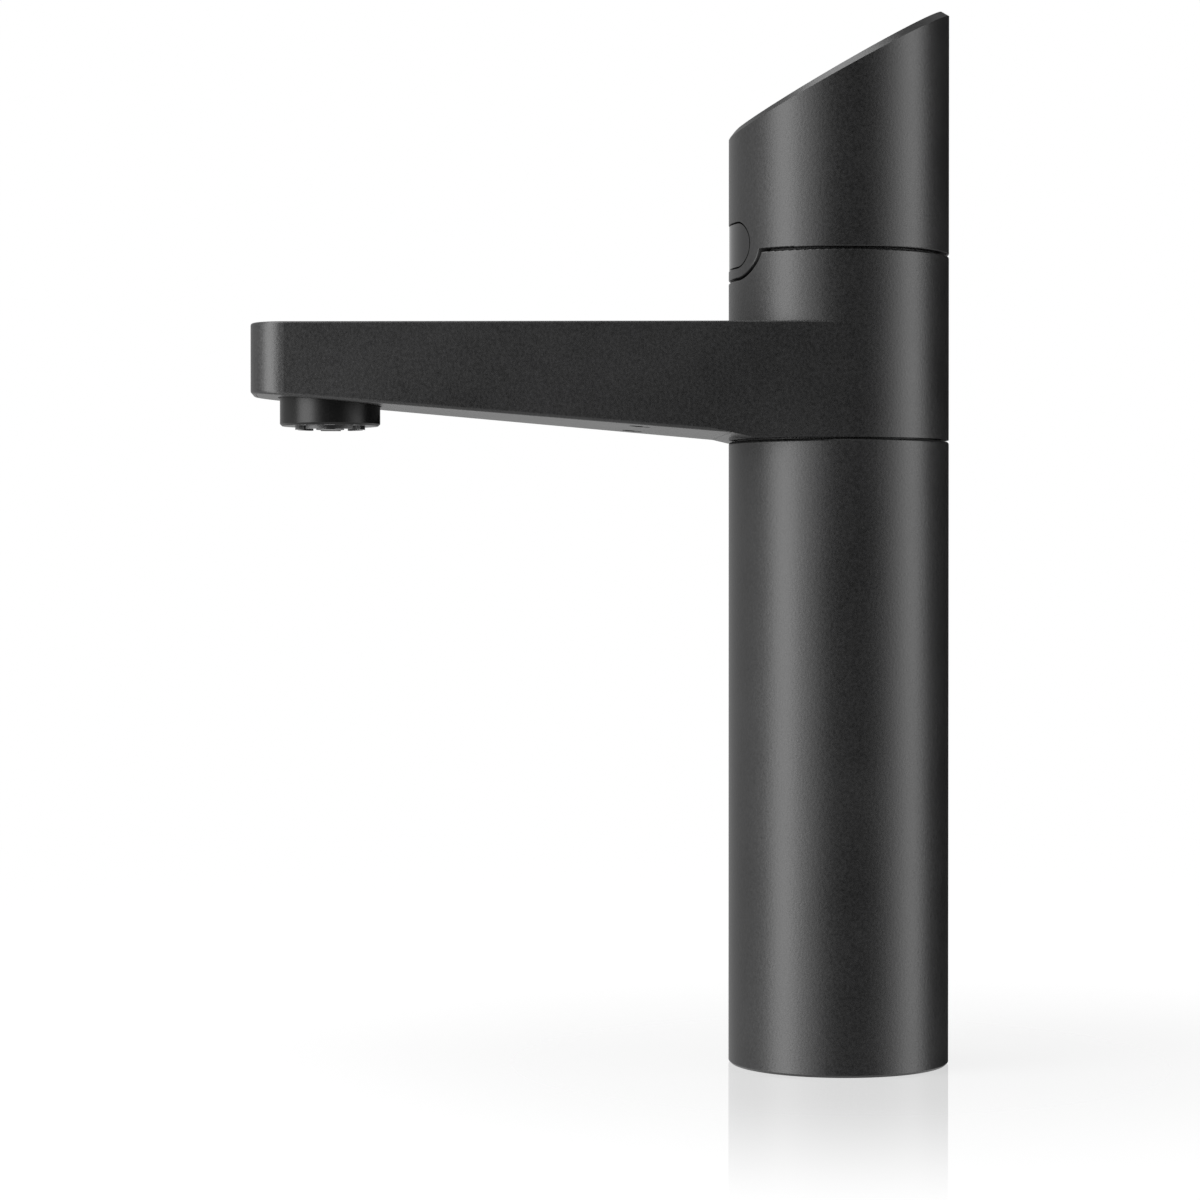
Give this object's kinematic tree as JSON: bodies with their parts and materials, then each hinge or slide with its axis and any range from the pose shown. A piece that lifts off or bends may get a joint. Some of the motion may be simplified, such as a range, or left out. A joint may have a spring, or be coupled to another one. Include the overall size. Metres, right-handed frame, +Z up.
{
  "type": "chilled sparkling water tap",
  "caption": "Matte black drinking water tap: round column, tapered swivel spout arm, slanted head with press pads and a pill-shaped front button.",
  "frame": {"origin": "centre of the base on the worktop plane, on the column's axis and midway between the two stud holes", "axes": "+Z up along the column's axis, -Y along the spout at rest, +X to the side"},
  "size_m": [0.054, 0.1707, 0.2581],
  "materials": {
    "black_coat": "satin",
    "outlet_black": "satin",
    "insert_black": "matte",
    "button_black": "satin",
    "pad_black": "satin",
    "brass": "machined",
    "steel": "machined",
    "slip_polymer": "matte",
    "core_plastic": "matte",
    "seal_rubber": "matte",
    "cable_jacket": "matte",
    "board_green": "gloss",
    "switch_grey": "gloss"
  },
  "bodies": {
    "column": {"column_tube": "black_coat", "mounting_base": "brass", "worktop_gasket": "seal_rubber", "chilled_inlet": "brass", "sparkling_inlet": "brass", "chilled_drill_plug": "brass", "sparkling_drill_plug": "brass", "cable_grommet": "seal_rubber", "cable_conduit": "steel", "control_cable": "cable_jacket", "stem": "brass", "stem_foot_seal": "seal_rubber", "stem_lower_seal": "seal_rubber", "stem_upper_seal": "seal_rubber", "bearing_carrier": "brass", "column_clamp_nut": "brass", "slip_ring": "slip_polymer", "stop_pin": "steel", "retaining_washer": "steel", "retaining_nut": "brass", "column_screw": "steel"},
    "spout": {"spout_body": "black_coat", "underside_plate": "black_coat", "plate_screw_left": "steel", "plate_screw_right": "steel", "water_tube": "steel", "outlet_manifold": "brass", "outlet_washer": "seal_rubber", "outlet_housing": "outlet_black", "flow_screen": "steel", "flow_insert": "insert_black", "head_shell": "black_coat", "head_carrier": "core_plastic", "carrier_screw_left": "steel", "carrier_screw_right": "steel", "shell_lock_screw": "steel", "cable_socket": "core_plastic", "control_board": "board_green", "board_lead": "cable_jacket", "chilled_switch": "switch_grey", "sparkling_switch": "switch_grey", "pad_frame": "core_plastic", "front_board": "board_green", "front_switch": "switch_grey", "front_lead": "cable_jacket"},
    "front_button": {"front_button": "button_black"},
    "chilled_pad": {"chilled_pad": "pad_black"},
    "sparkling_pad": {"sparkling_pad": "pad_black"}
  },
  "joints": [
    {"name": "spout_swivel", "type": "hinge", "parent": "column", "child": "spout", "pos_m": [0, 0, 0.1528], "axis": [0, 0, 1], "range_deg": [-60, 60]},
    {"name": "front_button_press", "type": "slide", "parent": "spout", "child": "front_button", "axis": [0, 1, 0], "range_m": [0, 0.001], "stiffness_N_per_m": 3000, "springref_m": -0.0002},
    {"name": "chilled_pad_press", "type": "slide", "parent": "spout", "child": "chilled_pad", "axis": [0, 0.5, -0.866], "range_m": [0, 0.0007], "stiffness_N_per_m": 4000, "springref_m": -0.0002},
    {"name": "sparkling_pad_press", "type": "slide", "parent": "spout", "child": "sparkling_pad", "axis": [0, 0.5, -0.866], "range_m": [0, 0.0007], "stiffness_N_per_m": 4000, "springref_m": -0.0002}
  ]
}
